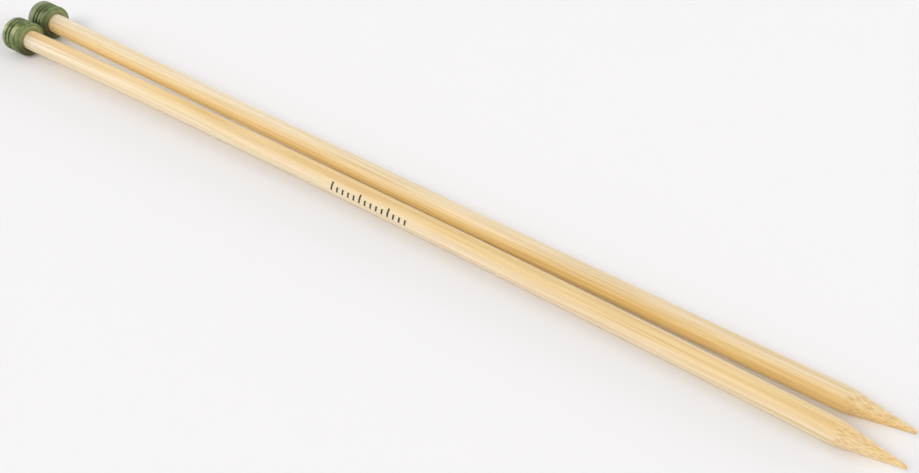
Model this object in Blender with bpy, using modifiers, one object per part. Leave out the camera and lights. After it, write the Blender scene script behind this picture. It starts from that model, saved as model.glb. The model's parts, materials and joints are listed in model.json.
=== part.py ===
"""A pair of straight knitting needles: bamboo shafts with turned, green-dyed wooden knobs.

Metres, +Z up. +X runs from the knobs to the tips and +Y from the near needle to the far one. The pair lies
on Z = 0, on the flanges of its knobs and on the shoulders of its tapers, and the middle of its box is at
X = Y = 0. Each needle is modelled along its own X, from the back face of its knob, under an empty.
"""

import math

import bmesh
import bpy

MM = 0.001

# The needle: a 6.5 mm shaft, 305 mm (12 in) from the knob's back face to the tip.
NEEDLE_LENGTH = 305.0 * MM
SHAFT_RADIUS = 3.25 * MM
TAPER_LENGTH = 16.6 * MM
SHOULDER_FILLET = 22.0 * MM
TIP_RADIUS = 0.58 * MM
SHAFT_END_CHAMFER = 0.3 * MM

# The knob, from its flat back: a barrel with two V grooves, a shallow cove, a flange and a low boss.
KNOB_RADIUS = 5.62 * MM
BACK_ROUNDING = 0.6 * MM
GROOVE_WIDTH = 0.6 * MM
GROOVE_DEPTH = 0.4 * MM
COVE_FROM = 5.75 * MM
COVE_DEPTH = 0.28 * MM
FLANGE_FROM = 6.45 * MM
FLANGE_TO = 7.6 * MM
FLANGE_RADIUS = 5.75 * MM
FLANGE_BACK_ROUNDING = 0.3 * MM
FLANGE_FRONT_ROUNDING = 0.6 * MM
BOSS_RADIUS = 4.75 * MM
BOSS_STEP = 0.12 * MM
KNOB_LENGTH = 7.95 * MM
BORE_FLOOR = 2.2 * MM
BORE_CHAMFER = 0.2 * MM
GLUE_THICKNESS = 0.8 * MM

# Neighbours that touch on the real needles keep this gap.
GAP = 0.3 * MM

# The two needles differ by their warp, towards each other, and by where the knobs' grooves were cut.
NEAR_BOW = 2.02 * MM
FAR_BOW = 0.65 * MM
NEAR_GROOVES = (1.95 * MM, 3.45 * MM)
FAR_GROOVES = (3.05 * MM, 4.4 * MM)

# How the pair lies. The spacings are between the axes, and the far flange meets the near barrel.
KNOB_SPACING = FLANGE_RADIUS + KNOB_RADIUS + 2 * GAP
TIP_SPACING = 10.95 * MM
FAR_SET_BACK = 1.2 * MM

SIDES = 40
SHANK_STATIONS = 12
ARC_STATIONS = 4
SHARP_ANGLE = math.radians(25)
MERGE_DISTANCE = 0.01 * MM

BAMBOO = (0.84, 0.62, 0.36)
DYED_WOOD = (0.13, 0.20, 0.07)
GLUE = (0.75, 0.66, 0.42)


def arc(centre, radius, start, end, steps=ARC_STATIONS):
    """Points (x, r) of an arc about centre. Its angles are in degrees, from +X towards +r."""
    turns = [math.radians(start + (end - start) * i / steps) for i in range(steps + 1)]
    return [(centre[0] + radius * math.cos(t), centre[1] + radius * math.sin(t)) for t in turns]


def taper_angle():
    """Half the angle of the cone from the shaft's shoulder to the ball of the tip, in radians."""
    run = TAPER_LENGTH - TIP_RADIUS
    return math.atan2(SHAFT_RADIUS, run) - math.asin(TIP_RADIUS / math.hypot(SHAFT_RADIUS, run))


def shank_end():
    """Where the full-width shank ends and the fillet of its shoulder begins."""
    return NEEDLE_LENGTH - TAPER_LENGTH - SHOULDER_FILLET * math.tan(taper_angle() / 2)


def shaft_start():
    """Where the shaft begins inside the knob's bore, in front of the glue."""
    return BORE_FLOOR + GAP + GLUE_THICKNESS + GAP


def shaft_profile():
    """Half of the shaft's outline, from its end inside the knob to its tip."""
    cone = math.degrees(taper_angle())
    shank = (shaft_start() + SHAFT_END_CHAMFER, shank_end())
    points = [(shaft_start(), 0.0), (shaft_start(), SHAFT_RADIUS - SHAFT_END_CHAMFER)]
    for i in range(SHANK_STATIONS):
        points.append((shank[0] + (shank[1] - shank[0]) * i / SHANK_STATIONS, SHAFT_RADIUS))
    points += arc((shank[1], SHAFT_RADIUS - SHOULDER_FILLET), SHOULDER_FILLET, 90, 90 - cone)
    points += arc((NEEDLE_LENGTH - TIP_RADIUS, 0.0), TIP_RADIUS, 90 - cone, 0)
    return points[:-1] + [(NEEDLE_LENGTH, 0.0)]


def cove_points():
    """The shallow hollow between the barrel and the flange, one sagging arc between its two ends."""
    points = []
    for i in range(ARC_STATIONS + 1):
        along = i / ARC_STATIONS
        depth = COVE_DEPTH * math.sin(math.pi * along)
        points.append((COVE_FROM + (FLANGE_FROM - COVE_FROM) * along, KNOB_RADIUS - depth))
    return points


def knob_profile(grooves):
    """Half of the knob's outline, from the middle of its back face round to the floor of its bore."""
    bore = SHAFT_RADIUS + GAP
    points = [(0.0, 0.0)] + arc((BACK_ROUNDING, KNOB_RADIUS - BACK_ROUNDING), BACK_ROUNDING, 180, 90)
    for middle in grooves:
        points.append((middle - GROOVE_WIDTH / 2, KNOB_RADIUS))
        points.append((middle, KNOB_RADIUS - GROOVE_DEPTH))
        points.append((middle + GROOVE_WIDTH / 2, KNOB_RADIUS))
    points += cove_points()
    back_corner = (FLANGE_FROM + FLANGE_BACK_ROUNDING, FLANGE_RADIUS - FLANGE_BACK_ROUNDING)
    front_corner = (FLANGE_TO - FLANGE_FRONT_ROUNDING, FLANGE_RADIUS - FLANGE_FRONT_ROUNDING)
    points += arc(back_corner, FLANGE_BACK_ROUNDING, 150, 90, 2)
    points += arc(front_corner, FLANGE_FRONT_ROUNDING, 90, 0)
    points += [(FLANGE_TO - BOSS_STEP, BOSS_RADIUS + BOSS_STEP), (FLANGE_TO, BOSS_RADIUS)]
    points += [(KNOB_LENGTH, bore + BORE_CHAMFER), (KNOB_LENGTH - BORE_CHAMFER, bore)]
    return points + [(BORE_FLOOR, bore), (BORE_FLOOR, 0.0)]


def glue_profile():
    """Half of the outline of the disc of glue between the bore's floor and the shaft's end."""
    back = BORE_FLOOR + GAP
    front = back + GLUE_THICKNESS
    return [(back, 0.0), (back, SHAFT_RADIUS), (front, SHAFT_RADIUS), (front, 0.0)]


def material(name, colour, roughness):
    made = bpy.data.materials.new(name)
    made.use_nodes = True
    shader = made.node_tree.nodes["Principled BSDF"]
    shader.inputs["Base Color"].default_value = (*colour, 1.0)
    shader.inputs["Roughness"].default_value = roughness
    shader.inputs["Metallic"].default_value = 0.0
    return made


def apply_modifiers(obj):
    """Bakes an object's modifiers into its mesh and shades it smooth, with its sharp edges kept."""
    graph = bpy.context.evaluated_depsgraph_get()
    mesh = bpy.data.meshes.new_from_object(obj.evaluated_get(graph))
    obj.modifiers.clear()
    obj.data = mesh
    shape = bmesh.new()
    shape.from_mesh(mesh)
    bmesh.ops.recalc_face_normals(shape, faces=shape.faces)
    shape.to_mesh(mesh)
    shape.free()
    mesh.shade_smooth()
    mesh.set_sharp_from_angle(angle=SHARP_ANGLE)


def half_bend(bow):
    """Half the angle through which a needle turns from knob to tip, as an arc of height bow."""
    return 4 * bow / NEEDLE_LENGTH


def turned(name, profile, finish, base, parts, bow=0.0):
    """A round piece: a profile turned about its own X, then bent sideways by the needle's warp."""
    mesh = bpy.data.meshes.new(name)
    edges = [(i, i + 1) for i in range(len(profile) - 1)]
    mesh.from_pydata([(x, 0.0, r) for x, r in profile], edges, [])
    mesh.materials.append(finish)
    obj = bpy.data.objects.new(name, mesh)
    parts.objects.link(obj)
    obj.parent = base
    turn = obj.modifiers.new("turn", "SCREW")
    turn.axis = "X"
    turn.steps = turn.render_steps = SIDES
    turn.use_merge_vertices = True
    turn.merge_threshold = MERGE_DISTANCE
    if bow:
        warp = obj.modifiers.new("warp", "SIMPLE_DEFORM")
        warp.deform_method = "BEND"
        warp.deform_axis = "Z"
        warp.angle = -2 * half_bend(bow) * (profile[-1][0] - profile[0][0]) / NEEDLE_LENGTH
    apply_modifiers(obj)


def needle(side, bow, grooves, place, heading, finishes, parts):
    """One needle on an empty at the middle of its knob's back face. Its chord points along heading."""
    flange = FLANGE_TO - FLANGE_FRONT_ROUNDING
    lean = math.atan2(FLANGE_RADIUS - SHAFT_RADIUS, shank_end() - flange)
    base = bpy.data.objects.new(f"{side}_needle", None)
    parts.objects.link(base)
    height = FLANGE_RADIUS * math.cos(lean) + flange * math.sin(lean)
    base.location = (place[0], place[1], height)
    base.rotation_euler = (0.0, lean, heading + half_bend(bow))
    bamboo, wood, glue = finishes
    turned(f"{side}_shaft", shaft_profile(), bamboo, base, parts, bow)
    turned(f"{side}_knob", knob_profile(grooves), wood, base, parts)
    turned(f"{side}_glue", glue_profile(), glue, base, parts)


def main():
    for obj in list(bpy.data.objects):
        bpy.data.objects.remove(obj, do_unlink=True)
    parts = bpy.data.collections.new("knitting_needles")
    bpy.context.scene.collection.children.link(parts)
    finishes = (
        material("bamboo", BAMBOO, 0.45),
        material("dyed_wood", DYED_WOOD, 0.35),
        material("glue", GLUE, 0.5),
    )
    back = -(NEEDLE_LENGTH - FAR_SET_BACK) / 2
    aside = KNOB_SPACING / 2
    drift = (TIP_SPACING - KNOB_SPACING) / NEEDLE_LENGTH
    needle("near", NEAR_BOW, NEAR_GROOVES, (back, -aside), 0.0, finishes, parts)
    needle("far", -FAR_BOW, FAR_GROOVES, (back - FAR_SET_BACK, aside), drift, finishes, parts)


main()
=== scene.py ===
"""The looks of a pair of straight knitting needles: bamboo shafts with turned, green-dyed wooden knobs.

Each needle is built along its own axis, in millimetres: x from the middle of its knob's back face towards
its tip, y level and z up. The frame's mounts give where that axis starts and points, and the frame's shaft
gives how long it is and how it is warped. Every piece rides on the body of its own needle.
"""

import json
import math

import bmesh
import bpy
import numpy as np
from mathutils import Matrix, Vector


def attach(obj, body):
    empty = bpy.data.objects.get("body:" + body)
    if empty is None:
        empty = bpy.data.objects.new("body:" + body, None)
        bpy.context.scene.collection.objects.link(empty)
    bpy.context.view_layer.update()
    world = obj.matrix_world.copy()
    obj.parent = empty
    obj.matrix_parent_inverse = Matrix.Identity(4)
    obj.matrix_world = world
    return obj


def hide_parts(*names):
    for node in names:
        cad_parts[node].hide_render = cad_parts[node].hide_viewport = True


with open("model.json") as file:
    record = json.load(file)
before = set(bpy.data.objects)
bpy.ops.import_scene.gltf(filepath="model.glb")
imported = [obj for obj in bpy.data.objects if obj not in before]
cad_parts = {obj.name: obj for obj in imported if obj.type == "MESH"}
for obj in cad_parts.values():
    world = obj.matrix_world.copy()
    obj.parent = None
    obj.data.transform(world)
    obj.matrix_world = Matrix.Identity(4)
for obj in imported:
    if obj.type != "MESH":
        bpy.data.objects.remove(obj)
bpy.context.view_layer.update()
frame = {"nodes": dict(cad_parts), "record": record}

MM = 0.001

# The needles' sizes are in millimetres and their angles in degrees.

# The shaft. Its length comes from the frame.
SHAFT_SIDES = 96
SHAFT_RADIUS = 3.25
SHAFT_START = 3.6  # inside the knob, measured from the knob's back face
SHAFT_CHAMFER = 0.3
TAPER_LENGTH = 16.6
SHOULDER_FILLET = 22.0
TIP_RADIUS = 0.58

# The knob, from its flat back: a barrel with two grooves, a shallow cove, a flange and a low boss.
KNOB_SIDES = 144
KNOB_RADIUS = 5.62
BACK_ROUNDING = 0.6
BARREL_STEP = 0.04
GROOVE_HALF_WIDTH = 0.34
GROOVE_DEPTH = 0.42
GROOVE_SPREAD = 0.62  # the share of its half width at which a groove is 1/e of its full depth
GROOVE_SHARPNESS = 1.7
COVE_FROM = 5.75
COVE_DEPTH = 0.28
FLANGE_FROM = 6.45
FLANGE_TO = 7.6
FLANGE_RADIUS = 5.75
FLANGE_BACK_ROUNDING = 0.3
FLANGE_FRONT_ROUNDING = 0.6
BOSS_FOOT_RADIUS = 5.0
BOSS_TOP_RADIUS = 4.35
KNOB_LENGTH = 7.95
BORE_RADIUS = 3.42
BORE_FLOOR = 2.2
MOUTH_ROUNDING = 0.22

# The glue at the bottom of the bore.
GLUE_SIDES = 64
GLUE_FROM = 2.55
GLUE_TO = 3.25
GLUE_RADIUS = 3.1
GLUE_ROUNDING = 0.15

# How far each surface is out of true, and the usual length of its waves along the axis. The first kind of
# wave has no lobes round the axis, the next has one, and so on.
SHAFT_UNEVENNESS = (0.02, 40.0)
KNOB_UNEVENNESS = (0.03, 5.0)
GLUE_UNEVENNESS = (0.12, 3.0)
KINDS_OF_WAVE = 5
WAVES_OF_A_KIND = 3

# The printed scale, in place of the maker's size mark: angles are from +y over the top of the shaft.
SCALE_MIDDLE = 152.5
SCALE_TICKS = 14
SCALE_STEP = 2.0
SCALE_BASELINE = 173.0
SCALE_SHORT = 28.0
SCALE_LONG = 46.0
SCALE_MAJOR = 5
INK_WIDTH = 0.6
INK_THICKNESS = 0.012
TICK_COLUMNS = 2
TICK_ROWS = 10
TICK_EDGE = 40.0  # the least angle between two faces of a tick that shows as a sharp edge

# The share of the light on the bamboo that goes into it and comes out elsewhere, and the colour it takes.
LIGHT_SHARE = 0.3
GLOW_COLOUR = (1.0, 0.82, 0.46)

# How yellow the bamboo is at its tip, away from the side that faces the other needle, from 0 to 1.
YELLOW_AT_TIP = 0.28

# How far apart two needles lie in the patterns of their materials when their seeds differ by one.
WOOD_APART = 40.0

# What differs between the two needles. "grooves" are the places of the knob's grooves, "turn" is how far
# the wood is turned round the axis, in radians, and "seed" sets its pattern. The shaft's deeper yellow side
# is partly the bamboo's own colour where it lay near its skin, partly painted shade and bounce light where
# it
# faces the other needle: its entry gives its middle at the knob and at the tip, half its width, and how
# strong its colour is. A spot on a knob is (x, half its length, its angle, half its width as an angle, its
# strength): the "pale" spots are where the dye took badly, and on the far knob a painted sheen; the dark
# spots are where wax or glue darkened the wood, and painted shade on the knobs' faces and on the far knob's
# side towards the near knob. "tone" darkens the whole knob.
NEAR = {
    "side": "near",
    "grooves": (1.95, 3.45),
    "turn": 0.0,
    "seed": 3,
    "skin": (74.0, 112.0, 40.0, 0.75),
    "tone": 0.0,
    "pale": [(5.2, 1.2, 124.0, 14.0, 0.75), (0.8, 0.9, 122.0, 17.0, 0.8), (5.9, 0.5, 80.0, 5.0, 0.4)],
    # The first dark spot is painted shade on the face and boss below the shaft; the second is a stain in the
    # wood.
    "stain_and_shade": [(7.8, 0.7, 216.0, 42.0, 0.6), (5.2, 0.9, 94.0, 9.0, 0.45)],
}
FAR = {
    "side": "far",
    "grooves": (3.05, 4.4),
    "turn": 2.1,
    "seed": 8,
    "skin": (200.0, 176.0, 52.0, 1.0),
    "tone": 0.18,
    # The far knob's pale spot is a painted sheen.
    "pale": [(6.2, 0.8, 130.0, 13.0, 0.55)],
    # Both dark spots are painted shade: on the face, and along the side towards the near knob.
    "stain_and_shade": [(7.9, 0.9, 188.0, 66.0, 0.6), (4.6, 3.0, 172.0, 16.0, 0.6)],
}

# The studio, in metres and degrees. A light is its name, the direction it comes from, its strength and its
# colour. The sky's brightness changes smoothly from the horizon up to a height on the unit sphere, and stays
# the same from there on.
FLOOR_HALF_WIDTH = 40.0
FLOOR_COLOUR = (0.75, 0.745, 0.75)
LIGHT_SPREAD = 28.0
LIGHTS = [
    ("back_light", (0.50, 0.72, 0.22), 1.28, (0.96, 0.98, 1.0)),
    ("right_light", (0.79, 0.21, 0.38), 1.26, (0.93, 0.97, 1.0)),
    ("low_left_light", (-0.79, -0.37, 0.22), 1.25, (0.93, 0.98, 1.0)),
    ("high_left_light", (-0.15, -0.59, 0.67), 1.55, (1.0, 0.93, 0.90)),
]
SKY_AT_HORIZON = 0.92
SKY_OVERHEAD = 0.51
SKY_STEADY_FROM = 0.45

# The camera: its lens and sensor in millimetres, its place and reach in metres, and how many degrees it
# looks down and to the left of +y.
LENS = 42.24
SENSOR = 36.0
CAMERA_PLACE = (0.150475, -0.178208, 0.206349)
CAMERA_PITCH = 43.284
CAMERA_HEADING = 34.687
NEAREST_SEEN = 0.01
FARTHEST_SEEN = 100.0


class Needle:
    """One needle's own frame, and the warp that bends it sideways into an arc."""

    def __init__(self, traits):
        self.side = traits["side"]
        self.body = f"{self.side}_needle"
        self.grooves = traits["grooves"]
        self.turn = traits["turn"]
        self.seed = traits["seed"]
        self.skin = traits["skin"]
        self.tone = traits["tone"]
        self.pale = traits["pale"]
        self.stain_and_shade = traits["stain_and_shade"]
        mounts = {mount["name"]: mount for mount in frame["record"]["mounts"]}
        back = mounts[f"{self.side}_knob_back"]
        along = -Vector(back["axis"]).normalized()
        level = Vector((0, 0, 1)).cross(along).normalized()
        axes = Matrix((along, level, along.cross(level))).transposed()
        self.place = Matrix.Translation(back["pos_m"]) @ axes.to_4x4()

        # The shaft is an arc that starts square to the knob's back face and ends at the tip.
        shaft = frame["nodes"][f"{self.side}_shaft"].data
        ends = [self.place.inverted() @ vertex.co for vertex in shaft.vertices]
        tip = max(ends, key=lambda point: point.x) / MM
        swing = math.atan2(tip.y, tip.x)
        self.curvature = 2 * math.sin(swing) / math.hypot(tip.x, tip.y)
        self.length = 2 * swing / self.curvature

    def warp(self, straight):
        """Points of the straight needle, moved to where the bent one has them."""
        turned_by = straight[:, 0] * self.curvature
        reach = 1 / self.curvature - straight[:, 1]
        bent = straight.copy()
        bent[:, 0] = np.sin(turned_by) * reach
        bent[:, 1] = 1 / self.curvature - np.cos(turned_by) * reach
        return bent


# Outlines: lists of (x, radius) in millimetres.


def line(start, end, step):
    """Points from start to end, about step apart."""
    count = max(1, round(math.dist(start, end) / step))
    return [tuple(a + (b - a) * i / count for a, b in zip(start, end)) for i in range(count + 1)]


def arc(centre, radius, start, end, steps):
    """Points of an arc. Its angles are in degrees, from +x towards a larger radius."""
    turns = [math.radians(start + (end - start) * i / steps) for i in range(steps + 1)]
    return [(centre[0] + radius * math.cos(t), centre[1] + radius * math.sin(t)) for t in turns]


def outline(*stretches):
    """Stretches of points as one list, without the points that repeat where they meet."""
    points = [point for stretch in stretches for point in stretch]
    return [p for i, p in enumerate(points) if i == 0 or math.dist(p, points[i - 1]) > 1e-4]


def taper_angle():
    """Half the angle of the cone from the shaft's shoulder to the ball of the tip, in radians."""
    run = TAPER_LENGTH - TIP_RADIUS
    return math.atan2(SHAFT_RADIUS, run) - math.asin(TIP_RADIUS / math.hypot(SHAFT_RADIUS, run))


def shaft_outline(length):
    """From the shaft's end in the bore, along the shank and the taper, to the round tip."""
    cone = math.degrees(taper_angle())
    shank_end = length - TAPER_LENGTH - SHOULDER_FILLET * math.tan(taper_angle() / 2)
    chamfer = (SHAFT_START, SHAFT_RADIUS - SHAFT_CHAMFER)
    corner = (SHAFT_START + SHAFT_CHAMFER, SHAFT_RADIUS)
    shoulder = arc((shank_end, SHAFT_RADIUS - SHOULDER_FILLET), SHOULDER_FILLET, 90, 90 - cone, 24)
    ball = arc((length - TIP_RADIUS, 0.0), TIP_RADIUS, 90 - cone, 0, 12)
    return outline(
        line((SHAFT_START, 0.0), chamfer, 0.5),
        line(chamfer, corner, 0.2),
        line(corner, (shank_end, SHAFT_RADIUS), 1.0),
        shoulder,
        line(shoulder[-1], ball[0], 0.15),
        ball,
    )


def knob_radius(x, grooves):
    """The radius of the barrel and of its cove, with the grooves' soft-lipped cuts."""
    radius = KNOB_RADIUS
    for middle in grooves:
        away = abs((x - middle) / (GROOVE_SPREAD * GROOVE_HALF_WIDTH))
        radius -= GROOVE_DEPTH * math.exp(-(away**GROOVE_SHARPNESS))
    if x > COVE_FROM:
        radius -= COVE_DEPTH * math.sin(math.pi * min(1.0, (x - COVE_FROM) / (FLANGE_FROM - COVE_FROM)))
    return radius


def boss_step():
    """The soft step up from the flange's front face to the boss round the bore."""
    steps = 12
    points = []
    for i in range(steps + 1):
        rise = (1 - math.cos(math.pi * i / steps)) / 2
        radius = BOSS_FOOT_RADIUS + (BOSS_TOP_RADIUS - BOSS_FOOT_RADIUS) * i / steps
        points.append((FLANGE_TO + (KNOB_LENGTH - FLANGE_TO) * rise, radius))
    return points


def knob_outline(grooves):
    """From the middle of the back, over the outside, and down the bore to the middle of its floor."""
    back = BACK_ROUNDING
    barrel = [(x, knob_radius(x, grooves)) for x in np.arange(back, FLANGE_FROM, BARREL_STEP)]
    flange_back = (FLANGE_FROM + FLANGE_BACK_ROUNDING, FLANGE_RADIUS - FLANGE_BACK_ROUNDING)
    flange_front = (FLANGE_TO - FLANGE_FRONT_ROUNDING, FLANGE_RADIUS - FLANGE_FRONT_ROUNDING)
    mouth = (KNOB_LENGTH - MOUTH_ROUNDING, BORE_RADIUS + MOUTH_ROUNDING)
    return outline(
        line((0.0, 0.0), (0.0, KNOB_RADIUS - back), 0.25),
        arc((back, KNOB_RADIUS - back), back, 180, 90, 10),
        barrel,
        arc(flange_back, FLANGE_BACK_ROUNDING, 150, 90, 5),
        arc(flange_front, FLANGE_FRONT_ROUNDING, 90, 0, 12),
        boss_step(),
        line((KNOB_LENGTH, BOSS_TOP_RADIUS), (KNOB_LENGTH, mouth[1]), 0.1),
        arc(mouth, MOUTH_ROUNDING, 0, -90, 6),
        line((mouth[0], BORE_RADIUS), (BORE_FLOOR, BORE_RADIUS), 0.5),
        line((BORE_FLOOR, BORE_RADIUS), (BORE_FLOOR, 0.0), 0.5),
    )


def glue_outline():
    """A disc with rounded edges."""
    back = (GLUE_FROM + GLUE_ROUNDING, GLUE_RADIUS - GLUE_ROUNDING)
    front = (GLUE_TO - GLUE_ROUNDING, GLUE_RADIUS - GLUE_ROUNDING)
    return outline(
        line((GLUE_FROM, 0.0), (GLUE_FROM, back[1]), 0.2),
        arc(back, GLUE_ROUNDING, 180, 90, 6),
        arc(front, GLUE_ROUNDING, 90, 0, 6),
        line((GLUE_TO, front[1]), (GLUE_TO, 0.0), 0.2),
    )


# Meshes.


def unevenness(x, around, seed, wavelength):
    """A smooth field from -1 to 0 along and around a piece: what the lathe and the sanding left."""
    waves = np.random.default_rng(seed)
    total = np.zeros(np.broadcast(x, around).shape)
    for lobes in range(KINDS_OF_WAVE):
        for _ in range(WAVES_OF_A_KIND):
            pitch = wavelength * waves.uniform(0.6, 1.8)
            shift = waves.uniform(0, 2 * math.pi, 2)
            along = np.sin(2 * math.pi * x / pitch + shift[0])
            total = total + along * np.cos(lobes * around + shift[1])
    return (total / (KINDS_OF_WAVE * WAVES_OF_A_KIND) - 1) / 2


def mesh_object(name, needle, straight, faces, finish, attributes=()):
    """A piece of a needle from its straight points in millimetres, warped and put in its place."""
    mesh = bpy.data.meshes.new(name)
    mesh.from_pydata((needle.warp(straight) * MM).tolist(), [], faces)
    mesh.transform(needle.place)
    grain = mesh.attributes.new("grain", "FLOAT_VECTOR", "POINT")
    turn = np.array(Matrix.Rotation(needle.turn, 3, "X"))
    shift = (0.0, 0.0, WOOD_APART * needle.seed)
    grain.data.foreach_set("vector", (straight @ turn.T + shift).ravel())
    for label, values in attributes:
        layer = mesh.attributes.new(label, "FLOAT", "POINT")
        layer.data.foreach_set("value", np.asarray(values, float))
    mesh.materials.append(finish)
    mesh.shade_smooth()
    obj = bpy.data.objects.new(name, mesh)
    bpy.context.scene.collection.objects.link(obj)
    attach(obj, needle.body)
    return obj


def around_axis(sides):
    """The angles of the points of one ring, in radians."""
    return 2 * math.pi * np.arange(sides) / sides


def tube_faces(rings, sides):
    """The faces of a tube of rings of points, closed at each end by a fan round one more point."""
    first, last = rings * sides, rings * sides + 1
    faces = []
    for i in range(rings - 1):
        row = i * sides
        for j in range(sides):
            k = (j + 1) % sides
            faces.append((row + j, row + k, row + sides + k, row + sides + j))
    row = (rings - 1) * sides
    for j in range(sides):
        k = (j + 1) % sides
        faces += [(first, k, j), (row + j, row + k, last)]
    return faces


def turned(name, needle, profile, finish, sides, out_of_true, masks=None):
    """A turned piece: the outline swept round the axis, each ring slightly out of true.

    Its "cut" attribute is 0 where its surface runs along the axis and 1 where it is square to it.
    """
    x, radius = np.array(profile).T
    around = around_axis(sides)
    relief, wavelength = out_of_true
    rings_x = np.repeat(x[1:-1, None], sides, 1)
    worn = relief * unevenness(rings_x, around[None, :], needle.seed, wavelength)
    rings_r = radius[1:-1, None] + worn * np.minimum(1.0, radius[1:-1, None])
    rings = np.stack([rings_x, rings_r * np.cos(around), rings_r * np.sin(around)], -1)
    ends = np.array([[x[0], 0.0, 0.0], [x[-1], 0.0, 0.0]])
    straight = np.concatenate([rings.reshape(-1, 3), ends])
    faces = tube_faces(len(rings), sides)
    run = np.gradient(x)
    rise = np.gradient(radius)
    cut = np.abs(rise) / np.maximum(1e-6, np.hypot(run, rise))
    attributes = []
    for label, value in ({"cut": cut[:, None]} | (masks or {})).items():
        rows = np.broadcast_to(value, (len(x), sides))
        attributes.append((label, np.concatenate([rows[1:-1].ravel(), rows[[0, -1]].mean(1)])))
    return mesh_object(name, needle, straight, faces, finish, attributes)


def tick_points(middle, rise):
    """The points of one tick of ink: its outer layer, then a layer just under the shaft's surface."""
    points = []
    for radius in (SHAFT_RADIUS + INK_THICKNESS, SHAFT_RADIUS - 2 * INK_THICKNESS):
        for i in range(TICK_COLUMNS + 1):
            x = middle + INK_WIDTH * (i / TICK_COLUMNS - 0.5)
            for j in range(TICK_ROWS + 1):
                angle = math.radians(SCALE_BASELINE - rise * j / TICK_ROWS)
                points.append((x, radius * math.cos(angle), radius * math.sin(angle)))
    return points


def tick_faces(base):
    """The faces of the tick whose first point has this number."""
    stride = TICK_ROWS + 1
    layer = (TICK_COLUMNS + 1) * stride
    faces = []
    for i in range(TICK_COLUMNS):
        for j in range(TICK_ROWS):
            a = base + i * stride + j
            top = (a, a + 1, a + stride + 1, a + stride)
            faces += [top, tuple(v + layer for v in reversed(top))]
    rim = [base + i * stride for i in range(TICK_COLUMNS)]
    rim += [base + TICK_COLUMNS * stride + j for j in range(TICK_ROWS)]
    rim += [base + i * stride + TICK_ROWS for i in range(TICK_COLUMNS, 0, -1)]
    rim += [base + j for j in range(TICK_ROWS, 0, -1)]
    for a, b in zip(rim, rim[1:] + rim[:1]):
        faces.append((b, a, a + layer, b + layer))
    return faces


def printed_scale(needle, finish):
    """A short scale of ticks printed on the shaft: a thin film of ink, taller at every fifth tick."""
    points, faces = [], []
    start = SCALE_MIDDLE - SCALE_STEP * (SCALE_TICKS - 1) / 2
    for tick in range(SCALE_TICKS):
        rise = SCALE_LONG if tick % SCALE_MAJOR == 0 else SCALE_SHORT
        faces += tick_faces(len(points))
        points += tick_points(start + SCALE_STEP * tick, rise)
    obj = mesh_object(f"{needle.side}_printed_scale", needle, np.array(points), faces, finish)
    shape = bmesh.new()
    shape.from_mesh(obj.data)
    bmesh.ops.recalc_face_normals(shape, faces=shape.faces)
    shape.to_mesh(obj.data)
    shape.free()
    obj.data.set_sharp_from_angle(angle=math.radians(TICK_EDGE))
    return obj


# Materials. Their patterns lie in the "grain" attribute: the straight needle's own millimetres, x along the
# fibres. A pattern's scale is given along x, y and z, so a small first number makes long, thin marks.


class Tree:
    """The nodes of one material, with short ways to add the kinds that these materials use."""

    def __init__(self, name):
        self.material = bpy.data.materials.new(name)
        self.material.use_nodes = True
        self.nodes = self.material.node_tree.nodes
        self.links = self.material.node_tree.links
        self.shader = self.nodes["Principled BSDF"]

    def add(self, kind, inputs, **settings):
        made = self.nodes.new(f"ShaderNode{kind}")
        for key, value in settings.items():
            setattr(made, key, value)
        self.fill(made, inputs)
        return made

    def fill(self, made, inputs):
        for key, value in inputs.items():
            if isinstance(value, bpy.types.NodeSocket):
                self.links.new(value, made.inputs[key])
            else:
                made.inputs[key].default_value = value

    def attribute(self, label, output="Fac"):
        return self.add("Attribute", {}, attribute_name=label).outputs[output]

    def scaled(self, vector, scale):
        return self.add("Mapping", {"Vector": vector, "Scale": scale}).outputs["Vector"]

    def noise(self, vector, scale, detail, output="Fac"):
        inputs = {"Vector": self.scaled(vector, scale), "Scale": 1.0, "Detail": detail}
        return self.add("TexNoise", inputs).outputs[output]

    def span(self, value, low, high, to_low=0.0, to_high=1.0):
        """Value mapped smoothly from the range low..high to the range to_low..to_high."""
        inputs = {"Value": value, "From Min": low, "From Max": high, "To Min": to_low, "To Max": to_high}
        return self.add("MapRange", inputs, interpolation_type="SMOOTHSTEP").outputs["Result"]

    def maths(self, operation, a, b):
        return self.add("Math", {0: a, 1: b}, operation=operation).outputs[0]

    def mix(self, share, a, b, blend="MIX"):
        """Colour a with this share of colour b. Either may be a tuple or another node's output."""
        a = (*a, 1.0) if isinstance(a, tuple) else a
        b = (*b, 1.0) if isinstance(b, tuple) else b
        inputs = {0: share, 6: a, 7: b}
        return self.add("Mix", inputs, data_type="RGBA", blend_type=blend).outputs[2]

    def darken(self, share, colour, tint, most=1.0):
        """Colour multiplied by the tint, by up to "most" of its full effect."""
        return self.mix(self.maths("MULTIPLY", share, most), colour, tint, "MULTIPLY")

    def bump(self, height, distance):
        """A normal tilted by this height field, where a height of 1 stands this far out, in metres."""
        inputs = {"Height": height, "Distance": distance, "Strength": 1.0}
        return self.add("Bump", inputs).outputs["Normal"]


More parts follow.
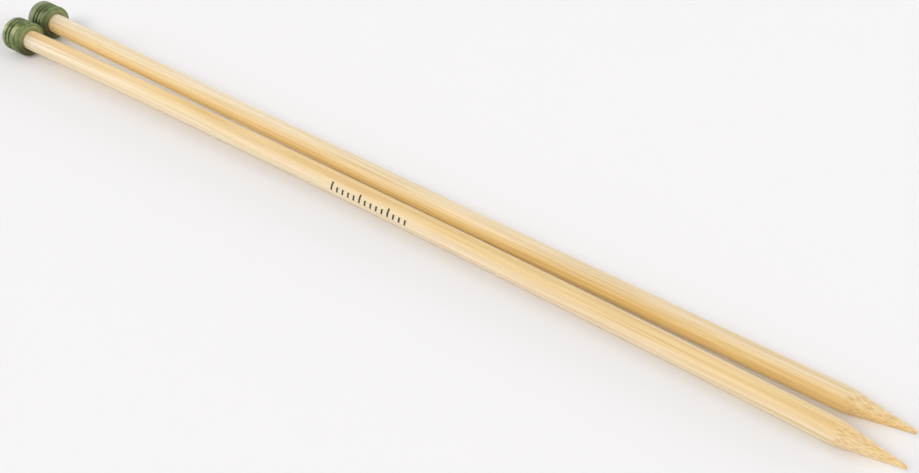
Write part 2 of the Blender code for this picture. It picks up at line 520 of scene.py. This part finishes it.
def bamboo():
    """Pale bamboo: bundles of dark fibre that run along the shaft and are cut across on the taper."""
    tree = Tree("bamboo")
    grain = tree.attribute("grain", "Vector")
    cut = tree.attribute("cut")
    taper = tree.span(cut, 0.04, 0.15)
    end_grain = tree.span(cut, 0.45, 0.95)

    # The fibres wander a little from side to side along the shaft.
    wander = tree.noise(grain, (0.012, 0.05, 0.05), 1.0, "Color")
    offset = tree.add("VectorMath", {0: wander, 1: (0.0, 1.2, 1.2)}, operation="MULTIPLY").outputs[0]
    strand = tree.add("VectorMath", {0: grain, 1: offset}, operation="ADD").outputs[0]

    # Each bundle is one cell of a flat pattern across the shaft, so it runs on through the wood.
    parts = tree.add("SeparateXYZ", {"Vector": strand})
    section = tree.add("CombineXYZ", {"X": parts.outputs["Y"], "Y": parts.outputs["Z"]}).outputs[0]
    cells = tree.add(
        "TexVoronoi",
        {"Vector": section, "Scale": 2.7, "Randomness": 0.95},
        voronoi_dimensions="2D",
    )
    weight = tree.add("SeparateColor", {"Color": cells.outputs["Color"]}).outputs["Red"]
    bundle = tree.span(cells.outputs["Distance"], 0.36, 0.18)
    bundle = tree.maths("MULTIPLY", bundle, tree.span(weight, 0.1, 0.8, 0.35, 1.0))
    coarse = tree.span(tree.noise(strand, (0.018, 2.3, 2.3), 2.0), 0.36, 0.64)
    fibre = tree.span(tree.noise(strand, (0.03, 4.6, 4.6), 3.0), 0.36, 0.66)
    broad = tree.span(tree.noise(grain, (0.010, 0.30, 0.30), 2.0), 0.36, 0.64)

    # The side towards the other needle is painted deeper yellow: partly the bamboo's skin, partly painted
    # shade and bounce light between the needles.
    skin = tree.attribute("skin")
    inner = tree.mix(broad, (0.93, 0.90, 0.80), (0.90, 0.86, 0.71))
    outer = tree.mix(broad, (0.93, 0.72, 0.36), (0.89, 0.665, 0.30))
    colour = tree.mix(skin, inner, outer)

    # The sanded taper is browner, the wood darkens slightly towards the tip, and the fibres are dark lines.
    colour = tree.mix(tree.maths("MULTIPLY", taper, 0.5), colour, (0.88, 0.73, 0.47))
    colour = tree.darken(tree.span(parts.outputs["X"], 60.0, 290.0), colour, (0.95, 0.95, 0.95))
    colour = tree.darken(coarse, colour, (0.87, 0.80, 0.66), 0.5)
    colour = tree.darken(fibre, colour, (0.81, 0.73, 0.56), 0.7)
    line = tree.maths("MULTIPLY", bundle, tree.span(taper, 0.0, 1.0, 0.6, 1.0))
    colour = tree.darken(line, colour, (0.66, 0.52, 0.32))
    # The round end of the tip, where the surface is square to the fibres, is nearly black.
    colour = tree.mix(tree.maths("MULTIPLY", end_grain, 0.85), colour, (0.13, 0.09, 0.06))

    relief = tree.maths("ADD", tree.maths("MULTIPLY", fibre, -0.5), tree.maths("MULTIPLY", bundle, -1.0))
    tree.fill(
        tree.shader,
        {
            "Base Color": colour,
            "Roughness": tree.span(fibre, 0.0, 1.0, 0.60, 0.74),
            "Specular IOR Level": 0.3,
            "Sheen Weight": 0.25,
            "Sheen Roughness": 0.4,
            "Normal": tree.bump(relief, 0.000006),
        },
    )
    let_light_through(tree)
    return tree.material


def let_light_through(tree):
    """Lets a share of the light through the material, which warms the shadow beside it."""
    glow = tree.add("BsdfTranslucent", {"Color": (*GLOW_COLOUR, 1.0)})
    parts = {0: LIGHT_SHARE, 1: tree.shader.outputs["BSDF"], 2: glow.outputs["BSDF"]}
    surface = tree.add("MixShader", parts).outputs[0]
    tree.links.new(surface, tree.nodes["Material Output"].inputs["Surface"])


def dyed_wood():
    """Green-dyed wood, blotchy where the dye took unevenly, with dark wax and painted shade in the grooves.
    """
    tree = Tree("dyed_wood")
    grain = tree.attribute("grain", "Vector")
    cut = tree.attribute("cut")
    groove = tree.attribute("groove")
    face = tree.span(cut, 0.7, 0.98)
    blotch = tree.span(tree.noise(grain, (0.22, 0.55, 0.55), 3.0), 0.38, 0.64)
    streak = tree.span(tree.noise(grain, (0.45, 3.4, 3.4), 3.0), 0.38, 0.64)
    pale = tree.span(tree.noise(grain, (0.06, 0.30, 0.30), 2.0), 0.56, 0.68)
    pores = tree.add(
        "TexVoronoi",
        {"Vector": tree.scaled(grain, (0.8, 2.8, 2.8)), "Scale": 1.0, "Randomness": 1.0},
    )
    pore = tree.span(pores.outputs["Distance"], 0.3, 0.12)

    colour = tree.mix(blotch, (0.058, 0.094, 0.022), (0.160, 0.210, 0.060))
    colour = tree.mix(tree.maths("MULTIPLY", pale, 0.45), colour, (0.36, 0.39, 0.16))
    colour = tree.mix(tree.maths("MULTIPLY", streak, 0.40), colour, (0.21, 0.27, 0.105))
    colour = tree.mix(tree.maths("MULTIPLY", pore, 0.45), colour, (0.04, 0.06, 0.018))
    colour = tree.mix(tree.maths("MULTIPLY", face, 0.6), colour, (0.125, 0.140, 0.048))
    colour = tree.mix(tree.maths("MULTIPLY", tree.attribute("boss"), 0.5), colour, (0.26, 0.235, 0.085))
    # Paler and greyer towards the back end, and a thin painted highlight round the flange's front rim.
    worn = tree.maths("MULTIPLY", tree.attribute("worn"), tree.span(streak, 0.0, 1.0, 0.20, 0.45))
    colour = tree.mix(worn, colour, (0.36, 0.37, 0.28))
    # Pale spots where the dye took badly; the far knob's pale spot is a painted sheen.
    spot = tree.maths("MULTIPLY", tree.attribute("pale"), tree.span(streak, 0.1, 0.9, 0.3, 1.0))
    colour = tree.mix(spot, colour, (0.46, 0.44, 0.20))
    # Darker where wax or glue stained the wood, and painted shade on the knobs' faces and on the far knob's
    # side towards the near knob; the tone darkens a whole knob.
    colour = tree.darken(tree.attribute("stain_and_shade"), colour, (0.16, 0.12, 0.12))
    # The grooves are nearly black: partly dark wax, partly painted shade.
    colour = tree.mix(tree.maths("MULTIPLY", groove, 0.9), colour, (0.012, 0.024, 0.004))

    tree.fill(
        tree.shader,
        {
            "Base Color": colour,
            "Roughness": tree.span(streak, 0.0, 1.0, 0.5, 0.62),
            "Specular IOR Level": 0.3,
            "Normal": tree.bump(tree.maths("SUBTRACT", streak, pore), 0.000012),
        },
    )
    return tree.material


def ink():
    """Dark printed ink, a little thin in places."""
    tree = Tree("ink")
    grain = tree.attribute("grain", "Vector")
    thin = tree.span(tree.noise(grain, (3.0, 3.0, 3.0), 3.0), 0.45, 0.75)
    tree.fill(
        tree.shader,
        {
            "Base Color": tree.mix(thin, (0.030, 0.024, 0.022), (0.10, 0.075, 0.05)),
            "Roughness": tree.span(thin, 0.0, 1.0, 0.42, 0.6),
            "Normal": tree.bump(thin, 0.000004),
        },
    )
    return tree.material


def cured_glue():
    """Amber wood glue, glossy and slightly cloudy."""
    tree = Tree("glue")
    grain = tree.attribute("grain", "Vector")
    cloud = tree.span(tree.noise(grain, (0.9, 0.9, 0.9), 3.0), 0.35, 0.7)
    tree.fill(
        tree.shader,
        {
            "Base Color": tree.mix(cloud, (0.75, 0.60, 0.30), (0.80, 0.72, 0.50)),
            "Roughness": tree.span(cloud, 0.0, 1.0, 0.18, 0.3),
            "Transmission Weight": 0.25,
            "Normal": tree.bump(cloud, 0.00004),
        },
    )
    return tree.material


def floor_finish():
    """Plain matt white board."""
    tree = Tree("floor")
    tree.fill(
        tree.shader,
        {"Base Color": (*FLOOR_COLOUR, 1.0), "Roughness": 0.85, "Specular IOR Level": 0.1},
    )
    return tree.material


# Masks: how strong one of a material's colours is at each point of a turned piece, from 0 to 1. A row is one
# point of its outline, and a column is one point of a ring.


def fading(distance, half_way, sharpness):
    """1 at no distance and a half at half_way, with a sharper edge for a larger sharpness."""
    return 0.5 ** (distance / half_way) ** sharpness


def degrees_apart(around, angle):
    """The angle between each of the directions, which are in radians, and one in degrees."""
    return np.degrees(np.abs(np.angle(np.exp(1j * (around - np.radians(angle))))))


def spots_mask(x, around, spots):
    """Where soft-edged spots lie on a turned piece."""
    total = np.zeros(np.broadcast(x, around).shape)
    for middle, half_length, angle, half_width, strength in spots:
        along = fading(np.abs(x - middle), half_length, 4)
        across = fading(degrees_apart(around, angle), half_width, 4)
        total = np.maximum(total, strength * along * across)
    return total


def knob_masks(profile, needle):
    """The dark grooves, the paler back edge and the painted highlight on the rim, the pale spots and a
    painted sheen, the stains and painted shade, and the boss.
    """
    x, radius = np.array(profile).T[:, :, None]
    around = around_axis(KNOB_SIDES)

    # The outside, grooves included, without the bore and nearly all of the two flat faces.
    outside = radius > KNOB_RADIUS - 1.5 * GROOVE_DEPTH
    widths = [np.abs(x - middle) / (0.8 * GROOVE_HALF_WIDTH) for middle in needle.grooves]
    back_edge = fading(x, needle.grooves[0] - 0.5, 8)
    # A thin pale ring round the front of the flange: a painted highlight.
    rim = 0.4 * fading(np.abs(x - FLANGE_TO + 0.25), 0.15, 2)
    return {
        "groove": np.where(outside, sum(np.exp(-(width**2)) for width in widths), 0.0),
        # The back end paler and greyer, and the painted highlight on the rim.
        "worn": np.where(outside, back_edge + rim, 0.0),
        "pale": np.where(outside, spots_mask(x, around, needle.pale), 0.0),
        # The dark spots hold the stains and the painted shade, and the whole knob's tone.
        "stain_and_shade": np.maximum(needle.tone, spots_mask(x, around, needle.stain_and_shade)),
        "boss": fading(np.abs(x - KNOB_LENGTH), 0.2, 4) * (radius > BORE_RADIUS - 0.1),
    }


def skin_and_gap_shade_mask(profile, needle):
    """How yellow the bamboo is: most on the side towards the other needle, partly its skin and partly
    painted shade and bounce light, and more towards the tip.
    """
    x = np.array(profile)[:, :1]
    at_knob, at_tip, half_width, strength = needle.skin
    middle = at_knob + (at_tip - at_knob) * x / needle.length
    away = degrees_apart(around_axis(SHAFT_SIDES), middle)
    least = YELLOW_AT_TIP * np.clip(x / needle.length, 0.0, 1.0)
    return least + (strength - least) * fading(away, half_width, 3)


# The needles.


def build(needle, wood, green, amber):
    """The three turned pieces of one needle."""
    profile = shaft_outline(needle.length)
    masks = {"skin": skin_and_gap_shade_mask(profile, needle)}
    name = f"{needle.side}_bamboo_shaft"
    shaft = turned(name, needle, profile, wood, SHAFT_SIDES, SHAFT_UNEVENNESS, masks)
    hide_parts(f"{needle.side}_shaft")

    profile = knob_outline(needle.grooves)
    masks = knob_masks(profile, needle)
    name = f"{needle.side}_turned_knob"
    knob = turned(name, needle, profile, green, KNOB_SIDES, KNOB_UNEVENNESS, masks)
    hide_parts(f"{needle.side}_knob")

    name = f"{needle.side}_cured_glue"
    slug = turned(name, needle, glue_outline(), amber, GLUE_SIDES, GLUE_UNEVENNESS)
    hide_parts(f"{needle.side}_glue")


# The studio.


def soft_light(name, direction, strength, colour):
    """A broad, distant light that shines from this direction towards the needles."""
    light = bpy.data.lights.new(name, "SUN")
    light.angle = math.radians(LIGHT_SPREAD)
    light.energy = strength
    light.color = colour
    obj = bpy.data.objects.new(name, light)
    bpy.context.scene.collection.objects.link(obj)
    obj.location = direction
    obj.rotation_euler = (-Vector(direction)).to_track_quat("-Z", "Y").to_euler()


def pale_sky():
    """A white sky, brightest just above the floor."""
    world = bpy.data.worlds.new("studio")
    world.use_nodes = True
    nodes, links = world.node_tree.nodes, world.node_tree.links
    direction = nodes.new("ShaderNodeTexCoord")
    height = nodes.new("ShaderNodeSeparateXYZ")
    links.new(direction.outputs["Generated"], height.inputs["Vector"])
    brightness = nodes.new("ShaderNodeMapRange")
    brightness.interpolation_type = "SMOOTHSTEP"
    links.new(height.outputs["Z"], brightness.inputs["Value"])
    brightness.inputs["From Max"].default_value = SKY_STEADY_FROM
    brightness.inputs["To Min"].default_value = SKY_AT_HORIZON
    brightness.inputs["To Max"].default_value = SKY_OVERHEAD
    sky = nodes["Background"]
    sky.inputs["Color"].default_value = (1.0, 1.0, 1.0, 1.0)
    links.new(brightness.outputs["Result"], sky.inputs["Strength"])
    return world


def floor():
    """A flat board far wider than the needles, so that its edge is only a horizon."""
    half = FLOOR_HALF_WIDTH
    mesh = bpy.data.meshes.new("floor")
    corners = [(-half, -half, 0.0), (half, -half, 0.0), (half, half, 0.0), (-half, half, 0.0)]
    mesh.from_pydata(corners, [], [(0, 1, 2, 3)])
    mesh.materials.append(floor_finish())
    obj = bpy.data.objects.new("floor", mesh)
    bpy.context.scene.collection.objects.link(obj)


def camera():
    """The photograph's camera: its lens, its place, and how far it looks down and to the left of +y."""
    optics = bpy.data.cameras.new("camera")
    optics.lens = LENS
    optics.sensor_width = SENSOR
    optics.clip_start = NEAREST_SEEN
    optics.clip_end = FARTHEST_SEEN
    obj = bpy.data.objects.new("camera", optics)
    bpy.context.scene.collection.objects.link(obj)
    obj.location = CAMERA_PLACE
    obj.rotation_euler = (math.radians(90 - CAMERA_PITCH), 0.0, math.radians(CAMERA_HEADING))
    bpy.context.scene.camera = obj


def main():
    wood, green, amber = bamboo(), dyed_wood(), cured_glue()
    needles = [Needle(NEAR), Needle(FAR)]
    for needle in needles:
        build(needle, wood, green, amber)
    printed_scale(needles[0], ink())

    bpy.context.scene.view_settings.view_transform = "Standard"
    bpy.context.scene.world = pale_sky()
    floor()
    for light in LIGHTS:
        soft_light(*light)
    camera()


main()
